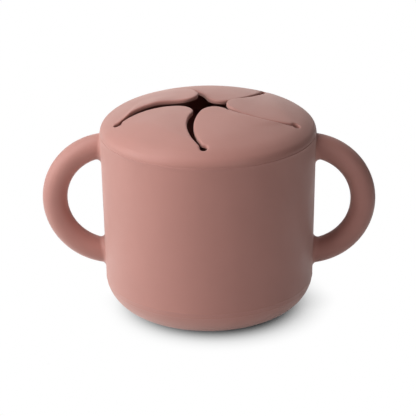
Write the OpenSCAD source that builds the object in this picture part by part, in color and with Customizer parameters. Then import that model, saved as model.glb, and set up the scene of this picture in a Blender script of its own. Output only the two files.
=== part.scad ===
// Toddler snack container: a soft round cup with two ring handles and a stretch-on
// lid whose top is slit into five curved flaps. Millimetres, +Z up. The origin is the
// centre of the flat base, the handles lie along X and the front faces -Y.

/* [Cup] */
// Outer diameter where the cup meets the lid
cup_d = 88; // [80:1:100]
// Height of that seam above the table
seam_z = 75; // [66:1:90]
// Draft of the outer wall, in degrees from upright
wall_draft = 1; // [0:0.25:2]
// Thickness of the wall
cup_wall = 3.6; // [3.4:0.1:4.4]
// Thickness of the floor
floor_t = 3.5; // [2.5:0.5:6]
// Radius of the rounded bottom edge
base_r = 14.5; // [10:0.5:18]
// Height of the neck that the lid is stretched over
neck_h = 2.1; // [1.5:0.1:2.4]
// Bevel on the outer edge of the cup, just under the seam
seam_bevel = 0.5; // [0.2:0.1:0.8]

/* [Handles] */
// Thickness of the round handle
handle_d = 10.2; // [8:0.2:12]
// Radius of the handle's centre line
handle_r = 23.4; // [20:0.2:26]
// Distance from the cup's axis to the centre of the handle's arc
handle_x = 40; // [38:0.5:44]
// Height of the centre of the handle's arc
handle_z = 45.5; // [40:0.5:50]

/* [Lid] */
// Height of the crown above the seam
crown_h = 13.8; // [12:0.2:18]
// Thickness of the lid's top and of its flaps
lid_t = 1.6; // [1.2:0.1:2]
// Radius of the lid's outer edge
edge_r = 4.8; // [3.5:0.1:6]
// Turn of that edge before the wider shoulder begins, in degrees
edge_turn = 48; // [40:1:56]
// Radius of the wider shoulder
shoulder_r = 16; // [12:0.5:20]
// Thickness of the skirt outside the neck
skirt_t = 1.8; // [1.6:0.1:2]
// Thickness of the lip inside the neck
lip_t = 1.1; // [1:0.1:1.4]
// Depth of that lip below the seam
lip_drop = 4; // [2:0.5:6]
// Play between the lid and the cup, on each side
fit_gap = 0.2; // [0.1:0.05:0.3]
// Open line between the skirt and the cup at the seam
seam_gap = 0.3; // [0.1:0.1:0.5]

/* [Flaps] */
// Number of flaps, and of slits between them
flap_count = 5; // [5:1:5]
// Direction of the first slit, in degrees from +X
slit_turn = 197; // [190:0.1:200]
// Distance from the lid's inner lip to the centre of the round hole at each slit's end
slit_inset = 1.6; // [1.6:0.1:3]
// Diameter of that hole
hole_d = 3; // [2.4:0.1:3.2]
// Gap between two flaps where their slit runs into its hole
slit_gap = 0.9; // [0.6:0.1:1.2]
// How far the leading edge of a flap bows clockwise from a straight line
lead_bow = 6.1; // [5:0.1:7]
// How far its trailing edge bows the same way
trail_bow = 5; // [4:0.1:6]
// Where the leading edge would end without the round tip, measured from the axis
lead_back = 4.1; // [3:0.1:5]
// Where the trailing edge would end
trail_back = 7.3; // [6.5:0.1:8]
// Radius of the round tip between the two
tip_r = 6.6; // [4:0.1:7]
// Distance from the line between two holes to the line on which a flap bends
bend_in = 3.3; // [2.9:0.1:4.3]
// Radius of the rolled root on that line
root_r = 1.8; // [1.6:0.1:2.2]
// Play round the rolled root
root_gap = 0.2; // [0.15:0.05:0.3]
// Resting droop of each flap, in degrees, from the first slit counterclockwise
flap_droop = [3.6, 1, 4.4, 6.3, 1.8];

/* [Hidden] */
$fn = 96;
arc_steps = 20;
land_steps = 6;
big = 2 * cup_d;
silicone = [0.76, 0.57, 0.54];

// Cup: radii of the wall, the neck and the rim
function wall_r(z) = cup_d / 2 - (seam_z - z) * tan(wall_draft);
function inner_r(z) = wall_r(z) - cup_wall / cos(wall_draft);
rim_z = seam_z + neck_h;
neck_r = cup_d / 2 - skirt_t - fit_gap;
lip_out_r = inner_r(seam_z - lip_drop) - fit_gap;
lip_in_r = lip_out_r - lip_t;

// Lid: three tangent arcs, from the seam over the edge and the shoulder to the crown.
// Heights in these values are measured from the seam.
edge_c = [cup_d / 2 - edge_r, 0];
shoulder_c = edge_c + (edge_r - shoulder_r) * [cos(edge_turn), sin(edge_turn)];
crown_drop = crown_h - shoulder_c.y;
dome_r = (shoulder_c.x ^ 2 + crown_drop ^ 2 - shoulder_r ^ 2) / (2 * (crown_drop - shoulder_r));
dome_c = [0, crown_h - dome_r];
shoulder_start = edge_c + edge_r * [cos(edge_turn), sin(edge_turn)];
dome_dir = (shoulder_c - dome_c) / norm(shoulder_c - dome_c);
dome_end = dome_c + dome_r * dome_dir;
function dome_z(r) = seam_z + dome_c.y + sqrt(dome_r ^ 2 - r ^ 2);

// Flaps: one flap lies between the slit along +X and the next one, counterclockwise
step = 360 / flap_count;
mid_dir = [cos(step / 2), sin(step / 2)];
slit_r = lip_in_r - slit_inset;
slit_end = slit_r * [1, 0];
lead_end = slit_end + slit_gap / 2 * [0, 1];
trail_end = slit_r * [cos(step), sin(step)] - slit_gap / 2 * [-sin(step), cos(step)];
// Radius and centre of the arc from p to q that bows to the right by bow
function arc_r(p, q, bow) = (norm(q - p) ^ 2 / 4 + bow ^ 2) / (2 * bow);
function arc_c(p, q, bow) =
    let (across = [q.y - p.y, p.x - q.x] / norm(q - p))
    (p + q) / 2 - across * (arc_r(p, q, bow) - bow);
lead_arc_r = arc_r(lead_back * mid_dir, lead_end, lead_bow);
lead_arc_c = arc_c(lead_back * mid_dir, lead_end, lead_bow);
trail_arc_r = arc_r(trail_back * mid_dir, trail_end, trail_bow);
trail_arc_c = arc_c(trail_back * mid_dir, trail_end, trail_bow);
// Point where two circles meet, on the left of the line from p to q
function meet(p, rp, q, rq) =
    let (
        d = norm(q - p),
        along = (q - p) / d,
        a = (d ^ 2 + rp ^ 2 - rq ^ 2) / (2 * d)
    )
    p + a * along + sqrt(rp ^ 2 - a ^ 2) * [-along.y, along.x];
tip_c = meet(lead_arc_c, lead_arc_r - tip_r, trail_arc_c, trail_arc_r + tip_r);
tip_a = lead_arc_c + (tip_c - lead_arc_c) * lead_arc_r / (lead_arc_r - tip_r);
tip_b = trail_arc_c + (tip_c - trail_arc_c) * trail_arc_r / (trail_arc_r + tip_r);
function turned(p, a) = [p.x * cos(a) - p.y * sin(a), p.x * sin(a) + p.y * cos(a)];
// Points from p to q, the short way round the centre c
function arc_points(c, p, q, steps = arc_steps) =
    let (sweep = sign(cross(p - c, q - c)) * 2 * asin(norm(q - p) / norm(p - c) / 2))
    [for (i = [0 : steps]) c + turned(p - c, sweep * i / steps)];
// Point of a slit's edge, a circle round c, at the distance d from the axis along the
// middle of the flap
function edge_point(c, r, d) =
    let (side_dir = [-mid_dir.y, mid_dir.x])
    d * mid_dir + (c * side_dir - sqrt(r ^ 2 - (d - c * mid_dir) ^ 2)) * side_dir;
// The lid's opening ends in a land just behind the rolled roots of the flaps
bend_d = slit_r * cos(step / 2) - bend_in;
land_d = bend_d + root_r + root_gap;
lead_land = edge_point(lead_arc_c, lead_arc_r, land_d);
trail_land = edge_point(trail_arc_c, trail_arc_r, land_d);
flap_points = concat(
    arc_points(lead_arc_c, lead_land, tip_a),
    arc_points(tip_c, tip_a, tip_b),
    arc_points(trail_arc_c, tip_b, trail_land)
);
land_points = concat(
    arc_points(lead_arc_c, lead_end, lead_land, land_steps),
    arc_points(trail_arc_c, trail_land, trail_end, land_steps)
);
opening_points = [for (i = [0 : flap_count - 1]) for (p = land_points) turned(p, i * step)];
// The bend line runs at the mean height of the lid's mid surface along the root
bend_r = (bend_d + slit_r - hole_d) / 2;
bend_z = dome_z(bend_r) - lid_t / 2;

// Half section of a drafted solid of revolution, inset from the outer wall
module drafted_half(foot_z, top_z, inset, round_r) {
    foot_r = wall_r(foot_z) - inset / cos(wall_draft);
    round_x = foot_r - round_r * (1 - sin(wall_draft)) / cos(wall_draft);
    polygon([
        [0, foot_z],
        [round_x, foot_z],
        [round_x + round_r * cos(wall_draft), foot_z + round_r * (1 - sin(wall_draft))],
        [wall_r(top_z) - inset / cos(wall_draft), top_z],
        [0, top_z]
    ]);
    translate([round_x, foot_z + round_r])
        circle(round_r);
}

// Outer form of the cup up to the bevel under the seam
module cup_form() {
    rotate_extrude()
        drafted_half(0, seam_z - seam_bevel, 0, base_r);
}

module cup_body() {
    color(silicone)
        difference() {
            union() {
                cup_form();
                translate([0, 0, seam_z - seam_bevel])
                    cylinder(h = seam_bevel, r1 = wall_r(seam_z - seam_bevel), r2 = cup_d / 2 - seam_bevel);
                translate([0, 0, seam_z - seam_bevel])
                    cylinder(h = neck_h + seam_bevel, r = neck_r);
            }
            rotate_extrude()
                drafted_half(floor_t, rim_z + neck_h, cup_wall, base_r - cup_wall);
        }
}

// Half ring outside the cup's wall, in the upright plane through the handles
module handle(side) {
    color(silicone)
        difference() {
            intersection() {
                translate([side * handle_x, 0, handle_z])
                    rotate([90, 0, 0])
                        rotate_extrude()
                            translate([handle_r, 0])
                                circle(d = handle_d);
                translate([side > 0 ? 0 : -big, -big / 2, 0])
                    cube(big);
            }
            cup_form();
        }
}

// Half section under the lid's outer surface, inset evenly by t; zero is the seam
module lid_half(t) {
    intersection() {
        translate(dome_c)
            circle(dome_r - t);
        square([dome_end.x - t * dome_dir.x, crown_h]);
    }
    intersection() {
        translate(shoulder_c)
            circle(shoulder_r - t);
        square([shoulder_start.x - t * cos(edge_turn), crown_h]);
    }
    intersection() {
        translate(edge_c)
            circle(edge_r - t);
        square([cup_d, crown_h]);
    }
}

// Section of the lid's top, with the lip's inner face as its outer limit
module shell_half() {
    difference() {
        lid_half(0);
        lid_half(lid_t);
        translate([lip_in_r, 0])
            square([cup_d, neck_h]);
    }
}

// Section of the whole lid: top, solid band over the rim, skirt and lip
module ring_half() {
    shell_half();
    intersection() {
        lid_half(0);
        translate([lip_in_r, neck_h])
            square([cup_d, crown_h]);
    }
    intersection() {
        lid_half(0);
        translate([neck_r + fit_gap, seam_gap])
            square([cup_d, crown_h]);
    }
    translate([lip_in_r, -lip_drop])
        square([lip_t, lip_drop + neck_h]);
}

module slit_holes() {
    for (i = [0 : flap_count - 1])
        rotate(i * step)
            translate(slit_end)
                circle(d = hole_d);
}

module lid_ring() {
    color(silicone)
        rotate(slit_turn)
            translate([0, 0, seam_z])
                difference() {
                    rotate_extrude()
                        ring_half();
                    translate([0, 0, neck_h])
                        linear_extrude(crown_h) {
                            polygon(opening_points);
                            slit_holes();
                        }
                }
}

// Everything on the inner side of the bend line, and the roll on the line itself
module bend_space() {
    rotate(step / 2) {
        translate([bend_d - big, -big / 2, 0])
            cube(big);
        translate([bend_d, 0, bend_z])
            rotate([90, 0, 0])
                cylinder(h = big, r = root_r, center = true);
    }
}

// One flap, drooping about its bend line by its own angle
module flap(i) {
    color(silicone)
        rotate(slit_turn + i * step + step / 2)
            translate([bend_d, 0, bend_z])
                rotate([0, -flap_droop[i], 0])
                    translate([-bend_d, 0, -bend_z])
                        rotate(-step / 2)
                            intersection() {
                                translate([0, 0, seam_z])
                                    rotate_extrude()
                                        shell_half();
                                translate([0, 0, seam_z])
                                    linear_extrude(crown_h)
                                        difference() {
                                            polygon(flap_points);
                                            slit_holes();
                                        }
                                bend_space();
                            }
}

cup_body();
handle(-1);  // left_handle
handle(1);  // right_handle
lid_ring();
flap(0);  // flap_1
flap(1);  // flap_2
flap(2);  // flap_3
flap(3);  // flap_4
flap(4);  // flap_5
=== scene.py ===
"""Looks for the toddler snack container: a matte silicone cup with two ring handles, and a
stretch-on lid whose top is slit into five curved flaps. The shapes are worked out in the
part's own millimetres and turned into metres as each mesh is made."""

import math

import bmesh
import bpy
import numpy as np
from mathutils import Matrix
from mathutils.geometry import delaunay_2d_cdt


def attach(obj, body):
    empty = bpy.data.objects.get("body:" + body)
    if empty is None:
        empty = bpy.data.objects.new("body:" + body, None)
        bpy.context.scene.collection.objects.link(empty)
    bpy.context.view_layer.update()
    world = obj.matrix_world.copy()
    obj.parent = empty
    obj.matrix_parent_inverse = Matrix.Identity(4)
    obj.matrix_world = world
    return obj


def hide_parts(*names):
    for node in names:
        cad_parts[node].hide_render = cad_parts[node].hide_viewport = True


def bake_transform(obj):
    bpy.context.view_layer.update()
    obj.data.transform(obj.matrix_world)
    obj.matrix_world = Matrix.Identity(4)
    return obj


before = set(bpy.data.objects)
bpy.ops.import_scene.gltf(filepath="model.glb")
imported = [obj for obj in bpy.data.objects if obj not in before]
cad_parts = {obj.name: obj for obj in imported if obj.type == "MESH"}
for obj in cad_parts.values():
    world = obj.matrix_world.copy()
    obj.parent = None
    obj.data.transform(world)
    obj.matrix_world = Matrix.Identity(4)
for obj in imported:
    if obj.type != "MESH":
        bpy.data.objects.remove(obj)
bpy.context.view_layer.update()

MM = 0.001
AROUND = 240
QUARTER = 90
SMALL_STEPS = 3
LEAST_STEPS = 4

# Points nearer than MERGE become one, and edges shorter than DEGENERATE go, both in metres
MERGE = 2e-6
DEGENERATE = 2e-7
# Twice the area in square millimetres below which a triangle is dropped, and the least distance
# that the triangulation tells apart
SLIVER = 1e-4
TELL_APART = 1e-7

# Cup, in millimetres
CUP_R = 44.0
SEAM_Z = 75.0
DRAFT = math.radians(1)
WALL_T = 3.6
FLOOR_T = 3.5
# How far the rounded bottom edge reaches, inward and up
BASE_ROUND = (14.8, 13.9)
BASE_STEPS = 120
UNDER_STEPS = 12
FLOOR_ROUND = 10.9
FLOOR_ROUND_STEPS = 16
FLOOR_STEPS = 10
NECK_R = 42.0
NECK_H = 2.1
NECK_FILLET = 0.2
NECK_LEDGE = 0.4
LEDGE_STEPS = 2
RIM_ROUND = 0.4
# Height below which the inside wall has no row until the floor's round
INSIDE_LOW = 16
INSIDE_STEPS = 24
SEAM_ROUND = 0.25
# How far the wall stands proud at the seam, and how far down that fades
SEAM_BEAD = (0.14, 0.9)
MOULD_LINES = (10.5, 12.6)
MOULD_WIDTH = 0.28
MOULD_RISE = 0.08
# Rows of points up the outer wall, and the closer ones at these distances below its top
WALL_ROWS = 55
SEAM_ROWS = (1.8, 1.4, 1.1, 0.8, 0.5, 0.25, 0.0)
SEAM_ROWS_GAP = 0.8

# Handles
HANDLE_X = 40.0
HANDLE_Z = 45.5
HANDLE_R = 23.37
TUBE_R = 5.12
FOOT_ROUND = 1.9
SEAM_FOOT_ROUND = 0.5
FOOT_POINTS = 72
FOOT_STEPS = 9
FOOT_CLEAR = 0.35
FOOT_PHI = np.arange(FOOT_POINTS) * 2 * math.pi / FOOT_POINTS
# The foot's place is found by halving this span of the handle's arc so many times
FOOT_SEARCH = (0.5, 2.0)
HALVINGS = 50
TUBE_STEPS = 110

# Lid
CROWN_H = 13.8
LID_T = 1.6
EDGE_R = 4.8
# Directions where the edge meets the shoulder and where it runs into the skirt, in degrees
EDGE_TURN = 48
EDGE_END = 8
EDGE_STEPS = 10
SHOULDER_R = 16.0
SHOULDER_STEPS = 8
SKIRT_IN = 42.2
SKIRT_ROUND = 0.05
SKIRT_FILLET = 0.2
SEAM_GAP = 0.02
# Inner and outer radius of the lip
LIP = (39.2, 40.1)
LIP_DROP = 4.0
LIP_ROUND = 0.3
# Radius where the lid's top, built on the plan, meets its side, built as a profile
SHELL_R = 40.2

# Flaps. The plan is drawn with the first slit's hole along +X, and SLIT_TURN then turns it
FLAPS = 5
STEP = 2 * math.pi / FLAPS
SLIT_TURN = math.radians(-163)
SLIT_R = 37.43
SLIT_GAP = 1.5
HOLE_R = 1.55
# Bow of a flap's leading and trailing edge, and where each would end, measured from the axis
BOWS = (6.2, 4.75)
TIPS_BACK = (4.06, 7.28)
TIP_R = 6.62
CORNER_R = 2.0
# Rounding of the cut edges, outside and inside
RIM_TOP = 0.7
RIM_LOW = 0.12
ROUNDING = np.radians(np.linspace(0, QUARTER, 5))
# Distances between the points of a flap's holes, corners, long edges and tip, and of its faces
HOLE_SPACING = 0.15
CORNER_SPACING = 0.12
EDGE_SPACING = 0.6
TIP_SPACING = 0.4
GRID = 1.0
GRID_CLEAR = 0.6
HALF_HOLE_POINTS = 31
# Flap and ring join along a line that leaves each hole by a spur
SPUR = 3.0
SPUR_STEPS = 2
CHORD_STEPS = 40
# Resting bend of each flap: slope, curve, twist, and lift of the trailing edge's root
RESTS = (
    (-0.124, 0.0001, -0.0379, -0.25),
    (-0.0899, 0.0031, 0.0541, 0.3),
    (-0.1274, 0.0035, 0.0589, -0.2),
    (-0.1624, 0.0004, -0.0542, -0.19),
    (-0.0900, 0.0018, -0.0600, 0.87),
)
# Distance over which the slope eases in, and the distance across where the twist counts in full
EASE = 3.0
TWIST_REACH = 20
# The lift's reach from the trailing edge, and the distances from the root where it rises and falls
CURL_REACH = 7
CURL_START = (0, 2.5)
CURL_END = (9, 17)


# ---------------------------------------------------------------- plane geometry
def unit(v):
    """Vectors of length 1."""
    return v / np.linalg.norm(v, axis=-1, keepdims=True)


def polar(angle):
    """Directions in plan."""
    return np.stack([np.cos(angle), np.sin(angle)], -1)


def turn(points, angle):
    """Plan points, or the plan part of points in space, turned about the axis."""
    out = np.array(points, float)
    c, s = math.cos(angle), math.sin(angle)
    x, y = out[..., 0].copy(), out[..., 1].copy()
    out[..., 0] = c * x - s * y
    out[..., 1] = s * x + c * y
    return out


def bowed(p, q, bow):
    """Centre and radius of the arc from p to q that bows to the right by bow."""
    chord = q - p
    length = np.linalg.norm(chord)
    right = np.array([chord[1], -chord[0]]) / length
    radius = (length ** 2 / 4 + bow ** 2) / (2 * bow)
    return (p + q) / 2 - right * (radius - bow), radius


def meeting(c1, r1, c2, r2, near):
    """The point where two circles meet that is nearer to the point near."""
    d = np.linalg.norm(c2 - c1)
    along = (c2 - c1) / d
    a = (d ** 2 + r1 ** 2 - r2 ** 2) / (2 * d)
    h = math.sqrt(r1 ** 2 - a ** 2)
    across = np.array([-along[1], along[0]])
    both = [c1 + a * along + h * across, c1 + a * along - h * across]
    return min(both, key=lambda p: np.linalg.norm(p - near))


def arc(c, p, q, spacing, side):
    """Points from p to q the short way round c, each with its normal: side 1 away from c, -1 to it."""
    a0 = math.atan2(p[1] - c[1], p[0] - c[0])
    a1 = math.atan2(q[1] - c[1], q[0] - c[0])
    sweep = math.remainder(a1 - a0, 2 * math.pi)
    r = np.linalg.norm(p - c)
    count = max(LEAST_STEPS, math.ceil(abs(sweep) * r / spacing))
    n = polar(a0 + sweep * np.linspace(0, 1, count + 1))
    return c + r * n, side * n


def inside(points, loops):
    """Even-odd test of plan points against closed loops."""
    x, y = points[:, 0], points[:, 1]
    odd = np.zeros(len(points), bool)
    for loop in loops:
        for (x0, y0), (x1, y1) in zip(loop, np.roll(loop, -1, 0)):
            if y0 != y1:
                crossed = (y0 > y) != (y1 > y)
                odd ^= crossed & (x < x0 + (x1 - x0) * (y - y0) / (y1 - y0))
    return odd


def clear_of(points, loops, gap):
    """Mask of the points that are at least gap away from the loops' points."""
    far = np.ones(len(points), bool)
    for p in np.vstack(loops):
        far &= ((points - p) ** 2).sum(1) > gap ** 2
    return far


def triangles(loops, inner):
    """Triangles between closed loops, through the inner points."""
    points = np.vstack(loops + [inner])
    edges = []
    start = 0
    for loop in loops:
        n = len(loop)
        edges += [(start + i, start + (i + 1) % n) for i in range(n)]
        start += n
    found = delaunay_2d_cdt([tuple(p) for p in points], edges, [], 0, TELL_APART)
    flat = np.array([tuple(v) for v in found[0]])
    tris = np.array(found[2])
    a, b, c = (flat[tris[:, i]] for i in range(3))
    area = (b[:, 0] - a[:, 0]) * (c[:, 1] - a[:, 1]) - (b[:, 1] - a[:, 1]) * (c[:, 0] - a[:, 0])
    tris[area < 0] = tris[area < 0][:, ::-1]
    return flat, tris[inside((a + b + c) / 3, loops) & (abs(area) > SLIVER)]


def grid_points(low, high, loops):
    """Staggered rows of points inside the loops and clear of them."""
    rows = np.arange(low[1], high[1], GRID * math.sqrt(3) / 2)
    points = []
    for i, y in enumerate(rows):
        x = np.arange(low[0] + (i % 2) * GRID / 2, high[0], GRID)
        points.append(np.stack([x, np.full_like(x, y)], -1))
    points = np.vstack(points)
    points = points[inside(points, loops)]
    return points[clear_of(points, loops, GRID_CLEAR * GRID)]


# ---------------------------------------------------------------- mesh building
class Build:
    """Collects points in millimetres and faces, and makes one smooth mesh of them."""

    def __init__(self):
        self.points = []
        self.faces = []
        self.caps = []
        self.count = 0

    def add(self, points, faces):
        """Points in millimetres, and faces that count from the first of them."""
        points = np.asarray(points, float).reshape(-1, 3)
        self.points.append(points)
        self.faces += [tuple(int(i) + self.count for i in f) for f in faces]
        self.count += len(points)

    def add_grid(self, rows, closed=False):
        """Quads between rows of points. closed joins the last row to the first."""
        rows = np.asarray(rows, float)
        n, m = rows.shape[:2]
        last = n if closed else n - 1
        faces = []
        for i in range(last):
            a, b = i * m, ((i + 1) % n) * m
            faces += [(a + j, b + j, b + j + 1, a + j + 1) for j in range(m - 1)]
        self.add(rows, faces)

    def add_cap(self, rows):
        """Faces that keep points of their own, so that they don't round off what they close."""
        self.caps.append(np.asarray(rows, float))

    def mesh(self, name, sharp=50):
        """The finished object in metres, shaded smooth but for edges sharper than the angle."""
        data = bpy.data.meshes.new(name)
        data.from_pydata((np.vstack(self.points) * MM).tolist(), [], self.faces)
        work = bmesh.new()
        work.from_mesh(data)
        bmesh.ops.remove_doubles(work, verts=work.verts, dist=MERGE)
        bmesh.ops.dissolve_degenerate(work, edges=work.edges, dist=DEGENERATE)
        for rows in self.caps:
            made = [[work.verts.new(p * MM) for p in row] for row in rows]
            for a, b in zip(made, made[1:]):
                for j in range(len(a) - 1):
                    work.faces.new((a[j], b[j], b[j + 1], a[j + 1]))
        work.to_mesh(data)
        work.free()
        data.shade_smooth()
        data.set_sharp_from_angle(angle=math.radians(sharp))
        obj = bpy.data.objects.new(name, data)
        bpy.context.scene.collection.objects.link(obj)
        return obj


def revolve(profile):
    """Rows of points, one row for each direction, from a profile of (radius, height)."""
    r, z = np.asarray(profile, float).T
    rows = []
    for a in np.arange(AROUND) * 2 * math.pi / AROUND:
        rows.append(np.stack([r * math.cos(a), r * math.sin(a), z], -1))
    return rows


def corner(c, r, start, end, steps=5):
    """Part of a circle in the profile, from one direction to another in degrees."""
    r = np.broadcast_to(r, 2)
    t = np.radians(np.linspace(start, end, steps + 1))
    return [(c[0] + r[0] * math.cos(a), c[1] + r[1] * math.sin(a)) for a in t]


def line(p, q, steps):
    """Points along a straight stretch of the profile."""
    p, q = np.array(p), np.array(q)
    return [tuple(p + (q - p) * i / steps) for i in range(steps + 1)]


# ---------------------------------------------------------------- cup and handles
def wall_r(z):
    """Radius of the drafted outer wall at a height."""
    return CUP_R - (SEAM_Z - z) * math.tan(DRAFT)


def bead(z):
    """How far the wall stands proud just under the seam."""
    return SEAM_BEAD[0] * np.exp(-((SEAM_Z - z) / SEAM_BEAD[1]) ** 2)


def round_handle(side, t, r):
    """Points round the handle at the angle t of its arc, at a distance from its centre line."""
    reach = HANDLE_R + r * np.cos(FOOT_PHI)
    return np.stack([
        side * (HANDLE_X + reach * np.cos(t)),
        r * np.sin(FOOT_PHI),
        HANDLE_Z + reach * np.sin(t),
    ], -1)


def foot_curves(side, up):
    """One handle foot: the angles where the fillet leaves the tube, its ball's centre and radius, and
    the wall's normal where it meets the wall. Under the seam the ball is smaller."""
    near_seam = np.clip(np.cos(FOOT_PHI), 0, 1) ** 2 if up > 0 else np.zeros(FOOT_POINTS)
    radius = FOOT_ROUND + (SEAM_FOOT_ROUND - FOOT_ROUND) * near_seam

    def off_wall(p):
        return (np.hypot(p[:, 0], p[:, 1]) - wall_r(p[:, 2])) * math.cos(DRAFT)

    low, high = (np.full(FOOT_POINTS, end) for end in FOOT_SEARCH)
    for _ in range(HALVINGS):
        mid = (low + high) / 2
        out = off_wall(round_handle(side, up * mid, TUBE_R + radius)) > radius
        low, high = np.where(out, mid, low), np.where(out, high, mid)
    centre = round_handle(side, up * low, TUBE_R + radius)
    flat = unit(centre[:, :2])
    normal = np.column_stack([flat * math.cos(DRAFT), np.full(FOOT_POINTS, -math.sin(DRAFT))])
    return up * low, centre, radius, normal


def handle_rows(side):
    """Rows along the tube from the lower foot to the upper one, and the two loops on the wall."""
    def fillet(t, centre, radius, normal):
        a, b = unit(round_handle(side, t, TUBE_R) - centre), -normal
        angle = np.arccos(np.clip((a * b).sum(1), -1, 1))[:, None]
        rows = []
        for i in range(FOOT_STEPS + 1):
            s = i / FOOT_STEPS
            way = (np.sin((1 - s) * angle) * a + np.sin(s * angle) * b) / np.sin(angle)
            row = centre + radius[:, None] * way
            row[:, :2] += unit(row[:, :2]) * (s * bead(row[:, 2]))[:, None]
            rows.append(row)
        return rows

    low_foot, high_foot = foot_curves(side, -1), foot_curves(side, 1)
    lower, upper = fillet(*low_foot), fillet(*high_foot)
    low_t, sweep = low_foot[0], high_foot[0] - low_foot[0]
    tube = [round_handle(side, low_t + sweep * i / TUBE_STEPS, TUBE_R) for i in range(1, TUBE_STEPS)]
    return lower[::-1] + tube + upper, lower[-1], upper[-1]


def add_base(build):
    """The flat underside and the rounded bottom edge with its mould lines."""
    flat_r = wall_r(0) - BASE_ROUND[0]
    base_c = (flat_r, BASE_ROUND[1])
    wide = wall_r(BASE_ROUND[1]) - flat_r
    base = corner(base_c, (wide, BASE_ROUND[1]), -QUARTER, 0, BASE_STEPS)
    shaped = []
    for r, z in base:
        rise = sum(math.exp(-((z - line_z) / MOULD_WIDTH) ** 2) for line_z in MOULD_LINES)
        shaped.append((r + MOULD_RISE * rise, z))
    under = line((0, 0), (flat_r, 0), UNDER_STEPS)[:-1]
    build.add_grid(revolve(under + shaped), closed=True)


def add_wall_and_handles(build):
    """The handles, and the wall laid out flat round their feet, as arc length against height."""
    back = math.pi / 2
    low_z, high_z = BASE_ROUND[1], SEAM_Z - SEAM_ROUND
    around = back + np.arange(AROUND + 1) * 2 * math.pi / AROUND
    near_seam = high_z - np.array(SEAM_ROWS)
    heights = np.concatenate([np.linspace(low_z, near_seam[0] - SEAM_ROWS_GAP, WALL_ROWS), near_seam])
    between = heights[1:-1]
    outline = np.vstack([
        np.column_stack([around * CUP_R, np.full(AROUND + 1, low_z)]),
        np.column_stack([np.full(len(between), around[-1] * CUP_R), between]),
        np.column_stack([around[::-1] * CUP_R, np.full(AROUND + 1, high_z)]),
        np.column_stack([np.full(len(between), around[0] * CUP_R), between[::-1]]),
    ])
    loops = [outline]
    for side in (-1, 1):
        rows, lower, upper = handle_rows(side)
        rows = [np.vstack([row, row[:1]]) for row in rows]
        # The right handle is the left one mirrored, so its rows run backwards to face outward
        if side > 0:
            rows = [row[::-1] for row in rows]
        build.add_grid(rows)
        for loop in (lower, upper):
            angle = np.arctan2(loop[:, 1], loop[:, 0])
            angle = np.where(angle < back, angle + 2 * math.pi, angle)
            angle = np.where(angle > back + 2 * math.pi, angle - 2 * math.pi, angle)
            loops.append(np.column_stack([angle * CUP_R, loop[:, 2]]))
    columns, rows = np.meshgrid(around[1:-1] * CUP_R, between)
    inner = np.column_stack([columns.ravel(), rows.ravel()])
    inner = inner[inside(inner, loops)]
    inner = inner[clear_of(inner, loops[1:], FOOT_CLEAR)]
    flat, tris = triangles(loops, inner)
    angle, z = flat[:, 0] / CUP_R, flat[:, 1]
    r = wall_r(z) + bead(z)
    build.add(np.column_stack([r * np.cos(angle), r * np.sin(angle), z]), tris)


def add_mouth_and_inside(build):
    """The seam's edge, the neck, the rim, the inside wall and the floor."""
    def inner_r(z):
        return wall_r(z) - WALL_T

    high_z = SEAM_Z - SEAM_ROUND
    top_r = wall_r(high_z) + bead(high_z)
    fillet_r = NECK_R + NECK_FILLET
    rim_c = SEAM_Z + NECK_H - RIM_ROUND
    rim_in = inner_r(SEAM_Z + NECK_H) + RIM_ROUND
    floor_r = inner_r(FLOOR_T + FLOOR_ROUND) - FLOOR_ROUND
    profile = corner((top_r - SEAM_ROUND, high_z), SEAM_ROUND, 0, QUARTER)
    profile += line((fillet_r + NECK_LEDGE, SEAM_Z), (fillet_r, SEAM_Z), LEDGE_STEPS)
    profile += corner((fillet_r, SEAM_Z + NECK_FILLET), NECK_FILLET, -QUARTER, -2 * QUARTER, SMALL_STEPS)
    profile += corner((NECK_R - RIM_ROUND, rim_c), RIM_ROUND, 0, QUARTER)
    profile += corner((rim_in, rim_c), RIM_ROUND, QUARTER, 2 * QUARTER)
    profile += line((inner_r(SEAM_Z), SEAM_Z), (inner_r(INSIDE_LOW), INSIDE_LOW), INSIDE_STEPS)
    profile += corner((floor_r, FLOOR_T + FLOOR_ROUND), FLOOR_ROUND, 0, -QUARTER, FLOOR_ROUND_STEPS)
    profile += line((floor_r, FLOOR_T), (0, FLOOR_T), FLOOR_STEPS)[1:]
    build.add_grid(revolve(profile), closed=True)


def make_cup():
    """The cup and its handles as one skin."""
    build = Build()
    add_base(build)
    add_wall_and_handles(build)
    add_mouth_and_inside(build)
    return build.mesh("cup")


# ---------------------------------------------------------------- lid
def lid_arcs():
    """Centres of the lid's three arcs, in (radius, height above the seam), and the dome's radius."""
    edge_turn = math.radians(EDGE_TURN)
    edge_c = np.array([CUP_R - EDGE_R, 0])
    shoulder_c = edge_c + (EDGE_R - SHOULDER_R) * polar(edge_turn)
    drop = CROWN_H - shoulder_c[1]
    dome_r = (shoulder_c[0] ** 2 + drop ** 2 - SHOULDER_R ** 2) / (2 * (drop - SHOULDER_R))
    dome_c = np.array([0, CROWN_H - dome_r])
    return edge_c, shoulder_c, dome_c, dome_r


EDGE_C, SHOULDER_C, DOME_C, DOME_R = lid_arcs()
DOME_DIR = unit(SHOULDER_C - DOME_C)


def lid_z(r, inset=0.0):
    """Height of the lid's surface at a distance from the axis, set in evenly from the outside."""
    r = np.asarray(r, float)
    dome = DOME_C[1] + np.sqrt((DOME_R - inset) ** 2 - r ** 2)
    off = np.clip(r - SHOULDER_C[0], 0, SHOULDER_R - inset)
    shoulder = SHOULDER_C[1] + np.sqrt((SHOULDER_R - inset) ** 2 - off ** 2)
    dome_end = DOME_C[0] + (DOME_R - inset) * DOME_DIR[0]
    return SEAM_Z + np.where(r < dome_end, dome, shoulder)


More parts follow.
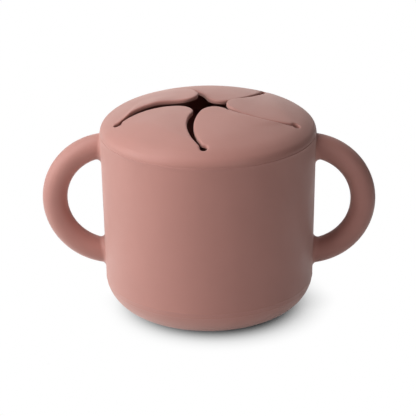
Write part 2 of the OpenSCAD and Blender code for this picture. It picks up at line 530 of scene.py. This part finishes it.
def surface(points, sag=None):
    """Points on the lid's outer and inner surface above plan points. sag bends a flap's points."""
    r = np.hypot(points[:, 0], points[:, 1])
    lift = 0 if sag is None else sag(points)
    top = np.column_stack([points, lid_z(r) + lift])
    low = np.column_stack([points, lid_z(r, LID_T) + lift])
    return top, low


def rim_rows(points, normals, sag=None):
    """Rows across a cut edge, from the outer surface round its rims to the inner one."""
    rows = []
    for t in ROUNDING:
        top, _ = surface(points + normals * RIM_TOP * (1 - math.sin(t)), sag)
        top[:, 2] -= RIM_TOP * (1 - math.cos(t))
        rows.append(top)
    for t in ROUNDING[::-1]:
        _, low = surface(points + normals * RIM_LOW * (1 - math.sin(t)), sag)
        low[:, 2] += RIM_LOW * (1 - math.cos(t))
        rows.append(low)
    return rows


HOLE = SLIT_R * polar(0.0)
NEXT_HOLE = SLIT_R * polar(STEP)
OUT_OF_HOLE = polar(math.pi / 2)
INTO_NEXT = polar(STEP - math.pi / 2)
MIDDLE = polar(STEP / 2)
CHORD_D = SLIT_R * math.cos(STEP / 2)


def chord_points(rim):
    """Where flap and ring join: out of one hole, rim away from its edge, across, and into the next."""
    first, last = HOLE + SPUR * OUT_OF_HOLE, NEXT_HOLE + SPUR * INTO_NEXT
    return np.vstack([
        np.linspace(HOLE + (HOLE_R + rim) * OUT_OF_HOLE, first, SPUR_STEPS + 1)[:-1],
        np.linspace(first, last, CHORD_STEPS + 1),
        np.linspace(last, NEXT_HOLE + (HOLE_R + rim) * INTO_NEXT, SPUR_STEPS + 1)[1:],
    ])


def chord_cap():
    """Rows over the cut on that line, from the outer surface to the inner one."""
    ends = []
    for rim, pick in ((RIM_TOP, 0), (RIM_LOW, 1)):
        reach = HOLE_R + rim * (1 - np.sin(ROUNDING[:0:-1]))[:, None]
        start, finish = HOLE + reach * OUT_OF_HOLE, NEXT_HOLE + reach[::-1] * INTO_NEXT
        row = surface(np.vstack([start, chord_points(rim), finish]))[pick]
        drop = rim * (1 - np.cos(ROUNDING[:0:-1])) * (-1 if pick == 0 else 1)
        row[:len(drop), 2] += drop
        row[-len(drop):, 2] += drop[::-1]
        ends.append(row)
    return ends


# Circles of a flap's leading and trailing edge
LEAD_ROOT = HOLE + SLIT_GAP / 2 * polar(math.pi / 2)
TRAIL_ROOT = NEXT_HOLE - SLIT_GAP / 2 * polar(math.pi / 2 + STEP)
LEAD_C, LEAD_R = bowed(TIPS_BACK[0] * MIDDLE, LEAD_ROOT, BOWS[0])
TRAIL_C, TRAIL_R = bowed(TIPS_BACK[1] * MIDDLE, TRAIL_ROOT, BOWS[1])


def flap_edge():
    """The free edge of a flap from hole to hole, with its normals into the flap."""
    c1, r1, c2, r2 = LEAD_C, LEAD_R, TRAIL_C, TRAIL_R
    tip_c = meeting(c1, r1 - TIP_R, c2, r2 + TIP_R, TIPS_BACK[0] * MIDDLE)
    near = HOLE - HOLE_R * polar(0.0)
    f1 = meeting(HOLE, HOLE_R + CORNER_R, c1, r1 - CORNER_R, near)
    near = NEXT_HOLE - HOLE_R * polar(STEP)
    f2 = meeting(NEXT_HOLE, HOLE_R + CORNER_R, c2, r2 + CORNER_R, near)
    hole_1, edge_1 = HOLE + HOLE_R * unit(f1 - HOLE), c1 + r1 * unit(f1 - c1)
    hole_2, edge_2 = NEXT_HOLE + HOLE_R * unit(f2 - NEXT_HOLE), c2 + r2 * unit(f2 - c2)
    t1, t2 = c1 + r1 * unit(tip_c - c1), c2 + r2 * unit(tip_c - c2)
    parts = [
        arc(HOLE, HOLE + HOLE_R * OUT_OF_HOLE, hole_1, HOLE_SPACING, 1),
        arc(f1, hole_1, edge_1, CORNER_SPACING, -1),
        arc(c1, edge_1, t1, EDGE_SPACING, -1),
        arc(tip_c, t1, t2, TIP_SPACING, -1),
        arc(c2, t2, edge_2, EDGE_SPACING, 1),
        arc(f2, edge_2, hole_2, CORNER_SPACING, -1),
        arc(NEXT_HOLE, hole_2, NEXT_HOLE + HOLE_R * INTO_NEXT, HOLE_SPACING, 1),
    ]
    points = np.vstack([p[:-1] for p, _ in parts] + [parts[-1][0][-1:]])
    normals = np.vstack([n[:-1] for _, n in parts] + [parts[-1][1][-1:]])
    return points, normals


def ramp(x, span):
    """Smooth rise from 0 to 1 over the span."""
    t = np.clip((x - span[0]) / (span[1] - span[0]), 0, 1)
    return t * t * (3 - 2 * t)


def flap_sag(slope, curve, twist, curl):
    """Resting bend of a flap: it leaves the line between its holes level and eases into its slope."""
    def sag(points):
        d = np.maximum(CHORD_D - points @ MIDDLE, 0)
        across = points @ polar(STEP / 2 + math.pi / 2) / TWIST_REACH
        off_edge = np.maximum(np.linalg.norm(points - TRAIL_C, axis=1) - TRAIL_R, 0)
        bend = (slope + twist * across) * (d - EASE * (1 - np.exp(-d / EASE))) + curve * d ** 2
        lift = ramp(d, CURL_START) * (1 - ramp(d, CURL_END)) * np.exp(-(off_edge / CURL_REACH) ** 2)
        return bend + curl * lift
    return sag


def flap_face(edge, chord, pick, sag):
    """The outer face of a flap, or with pick 1 its inner one, between its free edge and its chord."""
    loop = np.vstack([edge, chord[::-1][1:-1]])
    inner = grid_points(loop.min(0), loop.max(0), [loop])
    flat, tris = triangles([loop], inner)
    sheet = surface(flat, sag)[pick]
    return sheet, (tris if pick == 0 else tris[:, ::-1])


def make_flap(index):
    """One flap at its own rest: two faces, the rounded free edge and the cut where it meets the ring."""
    build = Build()
    sag = flap_sag(*RESTS[index])
    points, normals = flap_edge()
    angle = SLIT_TURN + index * STEP
    for pick, rim in enumerate((RIM_TOP, RIM_LOW)):
        sheet, tris = flap_face(points + normals * rim, chord_points(rim), pick, sag)
        build.add(turn(sheet, angle), tris)
    build.add_grid([turn(row, angle) for row in np.swapaxes(rim_rows(points, normals, sag), 0, 1)])
    top, low = chord_cap()
    build.add_cap([turn(top, angle), turn(low, angle)])
    return build.mesh(f"flap_sheet_{index + 1}")


def add_ring_top(build):
    """The lid's top outside the flaps, with its part of each slit's hole."""
    circle = polar(np.arange(AROUND) * 2 * math.pi / AROUND)
    hole_n = polar(np.linspace(-math.pi / 2, math.pi / 2, HALF_HOLE_POINTS))
    hole_p = HOLE + HOLE_R * hole_n
    for pick, (rim, outer) in enumerate(((RIM_TOP, SHELL_R), (RIM_LOW, LIP[0]))):
        part = np.vstack([hole_p + hole_n * rim, chord_points(rim)[1:-1]])
        inner_loop = np.vstack([turn(part, i * STEP) for i in range(FLAPS)])
        loops = [turn(circle * outer, -SLIT_TURN), inner_loop]
        grid = grid_points((-outer, -outer), (outer, outer), loops)
        flat, tris = triangles(loops, grid)
        sheet = surface(flat)[pick]
        build.add(turn(sheet, SLIT_TURN), tris if pick == 0 else tris[:, ::-1])
    rows = np.swapaxes(rim_rows(hole_p, hole_n), 0, 1)
    top, low = chord_cap()
    for i in range(FLAPS):
        angle = SLIT_TURN + i * STEP
        build.add_grid([turn(row, angle) for row in rows])
        build.add_cap([turn(low, angle), turn(top, angle)])


def add_ring_side(build):
    """From the top over the shoulder and the edge to the seam, the skirt and the lip."""
    start = math.degrees(math.acos((SHELL_R - SHOULDER_C[0]) / SHOULDER_R))
    seam = np.array([0, SEAM_Z])
    bottom = SEAM_Z + SEAM_GAP
    outer_c = (EDGE_C[0] + EDGE_R - SKIRT_ROUND, bottom + SKIRT_ROUND)
    fillet_c = (SKIRT_IN + SKIRT_FILLET, bottom + SKIRT_FILLET)
    rim_z = SEAM_Z + NECK_H
    lip_z = SEAM_Z - LIP_DROP + LIP_ROUND
    profile = corner(SHOULDER_C + seam, SHOULDER_R, start, EDGE_TURN, SHOULDER_STEPS)
    profile += corner(EDGE_C + seam, EDGE_R, EDGE_TURN, EDGE_END, EDGE_STEPS)[1:]
    profile += corner(outer_c, SKIRT_ROUND, 0, -QUARTER)
    profile += corner(fillet_c, SKIRT_FILLET, -QUARTER, -2 * QUARTER, SMALL_STEPS)
    profile += [(SKIRT_IN, rim_z), (LIP[1], rim_z)]
    profile += corner((LIP[1] - LIP_ROUND, lip_z), LIP_ROUND, 0, -QUARTER, SMALL_STEPS)
    profile += corner((LIP[0] + LIP_ROUND, lip_z), LIP_ROUND, -QUARTER, -2 * QUARTER, SMALL_STEPS)
    profile += [(LIP[0], float(lid_z(LIP[0], LID_T)))]
    build.add_grid(revolve(profile[::-1]), closed=True)


def make_ring():
    """The lid without its flaps."""
    build = Build()
    add_ring_top(build)
    add_ring_side(build)
    return build.mesh("lid_top_ring")


# ---------------------------------------------------------------- materials
SILICONE_IOR = 1.41
GLOSS = 0.5
SHEEN = 0.6
SHEEN_TINT = (255, 226, 218)
# Noise fields of the silicone: scale, detail, roughness and offset
CLOUDS = (38, 3, 0.55, 0.3)
MATTE = (120, 4, 0.6, 1.7)
SKIN = (2600, 3, 0.6, 2.9)
WAVES = (60, 2, 0.5, 4.1)
NOISE_SPAN = (0.3, 0.7)
CLOUD_SHADES = (0.965, 1.03)
MATTE_SPAN = (0.44, 0.56)
# Strength and depth in metres of the two bumps
SKIN_BUMP = (0.35, 0.00003)
WAVE_BUMP = (0.25, 0.00012)


def srgb(*levels):
    """Linear colour from 0 to 255 levels as seen on a screen."""
    def linear(v):
        v /= 255
        return v / 12.92 if v <= 0.04045 else ((v + 0.055) / 1.055) ** 2.4
    return tuple(linear(v) for v in levels) + (1.0,)


def silicone(name, colour, grain_seed):
    """Soft-touch silicone: a dry sheen, faint clouding of colour and roughness, and a fine skin."""
    material = bpy.data.materials.new(name)
    material.use_nodes = True
    nodes, links = material.node_tree.nodes, material.node_tree.links
    shader = nodes["Principled BSDF"]
    shader.inputs["IOR"].default_value = SILICONE_IOR
    shader.inputs["Specular IOR Level"].default_value = GLOSS
    shader.inputs["Sheen Weight"].default_value = SHEEN
    shader.inputs["Sheen Roughness"].default_value = SHEEN
    shader.inputs["Sheen Tint"].default_value = srgb(*SHEEN_TINT)
    place = nodes.new("ShaderNodeTexCoord")

    def noise(scale, detail, rough, offset):
        shift = nodes.new("ShaderNodeMapping")
        shift.inputs["Location"].default_value = (offset, grain_seed, offset)
        links.new(place.outputs["Object"], shift.inputs["Vector"])
        texture = nodes.new("ShaderNodeTexNoise")
        texture.inputs["Scale"].default_value = scale
        texture.inputs["Detail"].default_value = detail
        texture.inputs["Roughness"].default_value = rough
        links.new(shift.outputs["Vector"], texture.inputs["Vector"])
        return texture.outputs["Fac"]

    def spread(value, low, high):
        span = nodes.new("ShaderNodeMapRange")
        span.inputs["From Min"].default_value = NOISE_SPAN[0]
        span.inputs["From Max"].default_value = NOISE_SPAN[1]
        span.inputs["To Min"].default_value = low
        span.inputs["To Max"].default_value = high
        links.new(value, span.inputs["Value"])
        return span.outputs["Result"]

    def bump(height, strength, depth):
        node = nodes.new("ShaderNodeBump")
        node.inputs["Strength"].default_value = strength
        node.inputs["Distance"].default_value = depth
        links.new(height, node.inputs["Height"])
        return node

    # Sockets 6 and 7 of the mix node are its two colours, and output 2 is the mixed one
    tint = nodes.new("ShaderNodeMix")
    tint.data_type = "RGBA"
    for socket, shade in zip((6, 7), CLOUD_SHADES):
        tint.inputs[socket].default_value = tuple(shade * c for c in colour[:3]) + (1.0,)
    links.new(spread(noise(*CLOUDS), 0.0, 1.0), tint.inputs["Factor"])
    links.new(tint.outputs[2], shader.inputs["Base Color"])
    links.new(spread(noise(*MATTE), *MATTE_SPAN), shader.inputs["Roughness"])

    fine = bump(noise(*SKIN), *SKIN_BUMP)
    broad = bump(noise(*WAVES), *WAVE_BUMP)
    links.new(broad.outputs["Normal"], fine.inputs["Normal"])
    links.new(fine.outputs["Normal"], shader.inputs["Normal"])
    return material


# ---------------------------------------------------------------- the part
ROSE = srgb(178, 122, 112)

cup_skin = silicone("cup_silicone", ROSE, 0.0)
lid_skin = silicone("lid_silicone", ROSE, 5.0)

cup = make_cup()
cup.data.materials.append(cup_skin)
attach(cup, "cup")
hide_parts("cup_body", "left_handle", "right_handle")

ring = make_ring()
ring.data.materials.append(lid_skin)
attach(ring, "lid")
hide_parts("lid_ring")

for number in range(FLAPS):
    flap = make_flap(number)
    flap.data.materials.append(lid_skin)
    outward = turn(MIDDLE, SLIT_TURN + number * STEP)
    body = f"flap_{number + 1}"
    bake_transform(flap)
    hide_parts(body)


# ---------------------------------------------------------------- stage, light and camera
def seen_or_lit(nodes, links, seen, lit):
    """Mix of two shaders: what the camera, gloss and glass see, and what lights the part."""
    path = nodes.new("ShaderNodeLightPath")
    total = None
    for ray in ("Is Camera Ray", "Is Glossy Ray", "Is Transmission Ray"):
        if total is None:
            total = path.outputs[ray]
            continue
        both = nodes.new("ShaderNodeMath")
        both.operation = "MAXIMUM"
        links.new(total, both.inputs[0])
        links.new(path.outputs[ray], both.inputs[1])
        total = both.outputs[0]
    mix = nodes.new("ShaderNodeMixShader")
    links.new(total, mix.inputs["Fac"])
    links.new(lit, mix.inputs[1])
    links.new(seen, mix.inputs[2])
    return mix.outputs[0]


def stage_sheet(name, corners, material_name, grey, rough):
    """A flat sheet of the stage in a dull grey, with its node tree and its shader."""
    data = bpy.data.meshes.new(name)
    data.from_pydata(corners, [], [(0, 1, 3, 2)])
    sheet = bpy.data.objects.new(name, data)
    bpy.context.scene.collection.objects.link(sheet)
    material = bpy.data.materials.new(material_name)
    material.use_nodes = True
    shader = material.node_tree.nodes["Principled BSDF"]
    shader.inputs["Base Color"].default_value = (grey, grey, grey, 1)
    shader.inputs["Roughness"].default_value = rough
    shader.inputs["Specular IOR Level"].default_value = 0.0
    data.materials.append(material)
    return sheet, material.node_tree, shader


def make_floor():
    """A white sheet whose glow stays white away from the part and carries a painted soft shadow near it,
    dimmed where the part hides the sky; the lamps light its grey paper.
    """
    ends = (-FLOOR_SIZE / 2, FLOOR_SIZE / 2)
    corners = [(x, y, 0) for y in ends for x in ends]
    floor, tree, paper = stage_sheet("floor", corners, "white_floor_painted_shadow", PAPER_GREY, PAPER_ROUGH)
    floor.location.z = -FLOOR_DROP
    nodes, links = tree.nodes, tree.links
    # Painted shadow: occlusion within SHADOW_REACH dims the floor's glow near the part. The lamps play
    # no part in it
    near = nodes.new("ShaderNodeAmbientOcclusion")
    near.samples = SHADOW_SAMPLES
    near.inputs["Distance"].default_value = SHADOW_REACH
    lean = nodes.new("ShaderNodeCombineXYZ")
    for axis, value in zip("XYZ", SHADOW_LEAN):
        lean.inputs[axis].default_value = value
    links.new(lean.outputs[0], near.inputs["Normal"])
    fade = nodes.new("ShaderNodeMapRange")
    fade.inputs["From Min"].default_value = SHADOW_FADE[0]
    fade.inputs["From Max"].default_value = SHADOW_FADE[1]
    fade.inputs["To Min"].default_value = 1.0
    fade.inputs["To Max"].default_value = 0.0
    links.new(near.outputs["AO"], fade.inputs["Value"])
    soft = nodes.new("ShaderNodeMath")
    soft.operation = "MULTIPLY"
    links.new(fade.outputs["Result"], soft.inputs[0])
    links.new(fade.outputs["Result"], soft.inputs[1])
    rest = nodes.new("ShaderNodeMath")
    rest.operation = "SUBTRACT"
    rest.inputs[0].default_value = 1.0
    links.new(soft.outputs[0], rest.inputs[1])
    # The glow that the camera and gloss see: white, less the painted shadow
    white = nodes.new("ShaderNodeEmission")
    links.new(rest.outputs[0], white.inputs["Strength"])
    result = seen_or_lit(nodes, links, white.outputs[0], paper.outputs[0])
    links.new(result, nodes["Material Output"].inputs["Surface"])


def make_flag():
    """A black card beside the part, out of the picture."""
    corners = [(FLAG_X, y, z) for z in FLAG_SPAN[1] for y in FLAG_SPAN[0]]
    flag = stage_sheet("flag", corners, "black_card", CARD_GREY, CARD_ROUGH)[0]
    flag.visible_camera = False


def make_world():
    """White surroundings for the camera and the gloss."""
    world = bpy.data.worlds.new("studio")
    bpy.context.scene.world = world
    world.use_nodes = True
    nodes, links = world.node_tree.nodes, world.node_tree.links
    lit = nodes["Background"]
    lit.inputs["Color"].default_value = (1, 1, 1, 1)
    lit.inputs["Strength"].default_value = AMBIENT
    seen = nodes.new("ShaderNodeBackground")
    seen.inputs["Color"].default_value = (1, 1, 1, 1)
    seen.inputs["Strength"].default_value = 1.0
    result = seen_or_lit(nodes, links, seen.outputs[0], lit.outputs[0])
    links.new(result, nodes["World Output"].inputs["Surface"])


def look_matrix(back, roll=0.0):
    """Turn of a camera or lamp whose back points along back."""
    back = unit(np.array(back, float))
    right = unit(np.cross([0, 0, 1], back))
    up = np.cross(back, right)
    c, s = math.cos(roll), math.sin(roll)
    return Matrix(np.column_stack([c * right + s * up, c * up - s * right, back]))


def area_light(name, place, power):
    """A square softbox that faces the part."""
    data = bpy.data.lights.new(name, "AREA")
    data.shape = "RECTANGLE"
    data.size, data.size_y = LAMP_SIZE, LAMP_SIZE
    data.energy = power
    lamp = bpy.data.objects.new(name, data)
    lamp.location = place
    lamp.rotation_mode = "QUATERNION"
    lamp.rotation_quaternion = look_matrix(np.subtract(place, LAMP_AIM)).to_quaternion()
    bpy.context.scene.collection.objects.link(lamp)


# Softboxes, as name, place and power: most light comes from the left and from above it, with a
# weak one over the back and a dimmer one to fill the right
LAMP_AIM = (0, 0, 0.04)
LAMP_SIZE = 0.6
LAMPS = (
    ("key_left", (-0.9, -0.1, 0.35), 5.5),
    ("key_front_left", (-0.7, -0.6, 0.5), 2.9),
    ("over_left", (-0.5, -0.1, 0.9), 4.8),
    ("over_back", (-0.1, 0.55, 0.85), 0.5),
    ("fill_right", (0.5, -0.8, 0.4), 1.6),
)
# A black card out of the picture keeps the white surroundings off the part's right side
FLAG_X = 0.32
# The card's reach along Y and up Z
FLAG_SPAN = ((-0.3, 1.5), (0.0, 0.5))
CARD_GREY = 0.01
CARD_ROUGH = 1.0
FLOOR_SIZE = 6.0
FLOOR_DROP = 0.0001
PAPER_GREY = 0.65
PAPER_ROUGH = 0.9
# The floor looks white, but for a painted soft shadow close to the part, dimmed where the part hides the
# sky and leaning away from the key. It is full where the first share of SHADOW_FADE is open above the
# floor, and gone where the second is
SHADOW_REACH = 0.02
SHADOW_LEAN = (-0.35, 0.2, 1.0)
SHADOW_FADE = (0.04, 0.78)
SHADOW_SAMPLES = 32
# The surroundings show white to the camera and in gloss, and give the part no other light
AMBIENT = 0.0

# The view that fits the photograph's outline, seam, handles and slits
VIEW_TURN = math.radians(1.777)
VIEW_RISE = math.radians(21.976)
VIEW_ROLL = math.radians(-0.598)
VIEW_FROM = 826.505
VIEW_AIM = (-0.328, 0.0, 41.085)
# Focal length and width of the photograph, both in its pixels
FOCAL_PIXELS = 2002.99
PHOTO_PIXELS = 416
SENSOR = 36
VIEW_END = 20


def make_camera():
    """The camera at the fitted view."""
    data = bpy.data.cameras.new("camera")
    data.sensor_width = SENSOR
    data.lens = SENSOR * FOCAL_PIXELS / PHOTO_PIXELS
    data.clip_end = VIEW_END
    camera = bpy.data.objects.new("camera", data)
    back = np.array([
        math.sin(VIEW_TURN) * math.cos(VIEW_RISE),
        -math.cos(VIEW_TURN) * math.cos(VIEW_RISE),
        math.sin(VIEW_RISE),
    ])
    camera.location = (np.array(VIEW_AIM) + back * VIEW_FROM) * MM
    camera.rotation_mode = "QUATERNION"
    camera.rotation_quaternion = look_matrix(back, VIEW_ROLL).to_quaternion()
    bpy.context.scene.collection.objects.link(camera)
    bpy.context.scene.camera = camera


make_floor()
make_world()
make_flag()
for lamp_name, lamp_place, lamp_power in LAMPS:
    area_light(lamp_name, lamp_place, lamp_power)
make_camera()
bpy.context.scene.view_settings.view_transform = "Standard"
